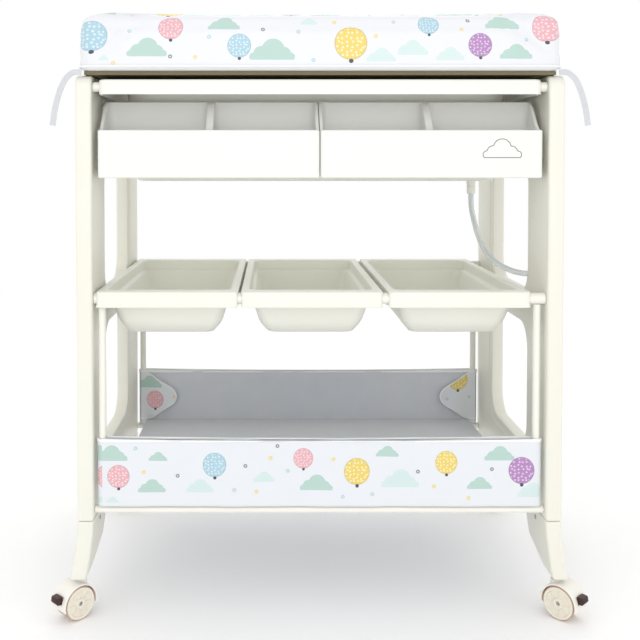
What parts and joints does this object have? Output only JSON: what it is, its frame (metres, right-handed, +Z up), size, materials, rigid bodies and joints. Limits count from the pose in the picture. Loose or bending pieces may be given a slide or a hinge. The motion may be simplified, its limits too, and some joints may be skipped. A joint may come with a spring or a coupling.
{
  "type": "changing table",
  "caption": "Wheeled bath and changing station: hinged padded mat over a drained tub, pull-off front trays, hanging bins and a low fabric basket.",
  "frame": {"origin": "on the floor, under the middle of the station's outline (castors included)", "axes": "+X to the station's right as its user faces it, -Y towards the user, +Z up"},
  "size_m": [0.8708, 0.5318, 0.981],
  "materials": {
    "frame_moulding": "warm white polypropylene, satin moulded",
    "tray_moulding": "neutral white polypropylene, satin moulded",
    "tub_moulding": "white polypropylene, semi-gloss",
    "bin_moulding": "ivory white polypropylene, satin moulded",
    "painted_tube": "steel tube, warm white powder coat",
    "printed_vinyl": "wipe-clean printed vinyl over foam",
    "printed_cloth": "printed polyester cloth with white binding",
    "lining_cloth": "grey-white backing side of the cloth",
    "cotton_tape": "flat woven tape",
    "board": "hardboard",
    "zinc_steel": "zinc plated",
    "wheel_nylon": "cream nylon",
    "brake_lever": "dark brown moulded",
    "clear_hose": "milky clear PVC",
    "white_rubber": "soft white rubber"
  },
  "bodies": {
    "root": {"side_frame_left": "frame_moulding", "side_frame_right": "frame_moulding", "foot_front_left": "frame_moulding", "foot_front_right": "frame_moulding", "foot_rear_left": "frame_moulding", "foot_rear_right": "frame_moulding", "tub_tube_front": "painted_tube", "tub_tube_rear": "painted_tube", "shelf_tube_front": "painted_tube", "shelf_tube_rear": "painted_tube", "basket_rail_front": "painted_tube", "basket_rail_rear": "painted_tube", "basket_post_front_left": "painted_tube", "basket_post_front_right": "painted_tube", "basket_post_rear_left": "painted_tube", "basket_post_rear_right": "painted_tube", "tray_rail": "painted_tube", "tray_rest_rail": "painted_tube", "basket_front": "printed_cloth", "basket_rear": "lining_cloth", "basket_floor": "lining_cloth", "mat_hinge_left": "zinc_steel", "mat_hinge_right": "zinc_steel", "bath_tub": "tub_moulding", "drain_spout": "frame_moulding", "drain_hose": "clear_hose", "hose_clip": "frame_moulding", "hose_stopper": "white_rubber"},
    "mat": {"mat_board": "board", "changing_mat": "printed_vinyl", "tie_left": "cotton_tape", "tie_right": "cotton_tape"},
    "tray_left": {"tray_left": "tray_moulding"},
    "tray_right": {"tray_right": "tray_moulding"},
    "bin_left": {"bin_left": "bin_moulding"},
    "bin_middle": {"bin_middle": "bin_moulding"},
    "bin_right": {"bin_right": "bin_moulding"},
    "drain_plug": {"drain_plug": "white_rubber"},
    "castor_front_left": {"castor_hood_front_left": "frame_moulding", "castor_axle_front_left": "zinc_steel", "castor_stem_front_left": "zinc_steel"},
    "wheel_front_left_a": {"wheel_front_left_a": "wheel_nylon"},
    "wheel_front_left_b": {"wheel_front_left_b": "wheel_nylon"},
    "lever_front_left": {"brake_lever_front_left": "brake_lever"},
    "castor_front_right": {"castor_hood_front_right": "frame_moulding", "castor_axle_front_right": "zinc_steel", "castor_stem_front_right": "zinc_steel"},
    "wheel_front_right_a": {"wheel_front_right_a": "wheel_nylon"},
    "wheel_front_right_b": {"wheel_front_right_b": "wheel_nylon"},
    "lever_front_right": {"brake_lever_front_right": "brake_lever"},
    "castor_rear_left": {"castor_hood_rear_left": "frame_moulding", "castor_axle_rear_left": "zinc_steel", "castor_stem_rear_left": "zinc_steel"},
    "wheel_rear_left_a": {"wheel_rear_left_a": "wheel_nylon"},
    "wheel_rear_left_b": {"wheel_rear_left_b": "wheel_nylon"},
    "castor_rear_right": {"castor_hood_rear_right": "frame_moulding", "castor_axle_rear_right": "zinc_steel", "castor_stem_rear_right": "zinc_steel"},
    "wheel_rear_right_a": {"wheel_rear_right_a": "wheel_nylon"},
    "wheel_rear_right_b": {"wheel_rear_right_b": "wheel_nylon"}
  },
  "joints": [
    {"name": "mat_lift", "type": "hinge", "parent": "root", "child": "mat", "pos_m": [0, 0.2545, 0.884], "axis": [-1, 0, 0], "range_deg": [0, 95]},
    {"name": "tray_left_pull", "type": "slide", "parent": "root", "child": "tray_left", "axis": [0, -1, 0], "range_m": [0, 0.12]},
    {"name": "tray_right_pull", "type": "slide", "parent": "root", "child": "tray_right", "axis": [0, -1, 0], "range_m": [0, 0.12]},
    {"name": "bin_left_lift", "type": "slide", "parent": "root", "child": "bin_left", "axis": [0, 0, 1], "range_m": [0, 0.09]},
    {"name": "bin_middle_lift", "type": "slide", "parent": "root", "child": "bin_middle", "axis": [0, 0, 1], "range_m": [0, 0.09]},
    {"name": "bin_right_lift", "type": "slide", "parent": "root", "child": "bin_right", "axis": [0, 0, 1], "range_m": [0, 0.012]},
    {"name": "drain_plug_pull", "type": "slide", "parent": "root", "child": "drain_plug", "axis": [0, 0, 1], "range_m": [0, 0.03]},
    {"name": "swivel_front_left", "type": "hinge", "parent": "root", "child": "castor_front_left", "pos_m": [-0.3905, -0.221, 0.06], "axis": [0, 0, 1], "continuous": true},
    {"name": "spin_front_left_a", "type": "hinge", "parent": "castor_front_left", "child": "wheel_front_left_a", "pos_m": [-0.39969, -0.23019, 0.027], "axis": [-0.7071, 0.7071, 0], "continuous": true},
    {"name": "spin_front_left_b", "type": "hinge", "parent": "castor_front_left", "child": "wheel_front_left_b", "pos_m": [-0.39969, -0.23019, 0.027], "axis": [-0.7071, 0.7071, 0], "continuous": true},
    {"name": "brake_front_left", "type": "hinge", "parent": "castor_front_left", "child": "lever_front_left", "pos_m": [-0.41772, -0.24822, 0.038], "axis": [0.7071, -0.7071, 0], "range_deg": [0, 10]},
    {"name": "swivel_front_right", "type": "hinge", "parent": "root", "child": "castor_front_right", "pos_m": [0.3905, -0.221, 0.06], "axis": [0, 0, 1], "continuous": true},
    {"name": "spin_front_right_a", "type": "hinge", "parent": "castor_front_right", "child": "wheel_front_right_a", "pos_m": [0.39969, -0.23019, 0.027], "axis": [-0.7071, -0.7071, 0], "continuous": true},
    {"name": "spin_front_right_b", "type": "hinge", "parent": "castor_front_right", "child": "wheel_front_right_b", "pos_m": [0.39969, -0.23019, 0.027], "axis": [-0.7071, -0.7071, 0], "continuous": true},
    {"name": "brake_front_right", "type": "hinge", "parent": "castor_front_right", "child": "lever_front_right", "pos_m": [0.41772, -0.24822, 0.038], "axis": [0.7071, 0.7071, 0], "range_deg": [0, 10]},
    {"name": "swivel_rear_left", "type": "hinge", "parent": "root", "child": "castor_rear_left", "pos_m": [-0.3905, 0.221, 0.06], "axis": [0, 0, 1], "continuous": true},
    {"name": "spin_rear_left_a", "type": "hinge", "parent": "castor_rear_left", "child": "wheel_rear_left_a", "pos_m": [-0.39969, 0.23019, 0.027], "axis": [0.7071, 0.7071, 0], "continuous": true},
    {"name": "spin_rear_left_b", "type": "hinge", "parent": "castor_rear_left", "child": "wheel_rear_left_b", "pos_m": [-0.39969, 0.23019, 0.027], "axis": [0.7071, 0.7071, 0], "continuous": true},
    {"name": "swivel_rear_right", "type": "hinge", "parent": "root", "child": "castor_rear_right", "pos_m": [0.3905, 0.221, 0.06], "axis": [0, 0, 1], "continuous": true},
    {"name": "spin_rear_right_a", "type": "hinge", "parent": "castor_rear_right", "child": "wheel_rear_right_a", "pos_m": [0.39969, 0.23019, 0.027], "axis": [0.7071, -0.7071, 0], "continuous": true},
    {"name": "spin_rear_right_b", "type": "hinge", "parent": "castor_rear_right", "child": "wheel_rear_right_b", "pos_m": [0.39969, 0.23019, 0.027], "axis": [0.7071, -0.7071, 0], "continuous": true}
  ]
}
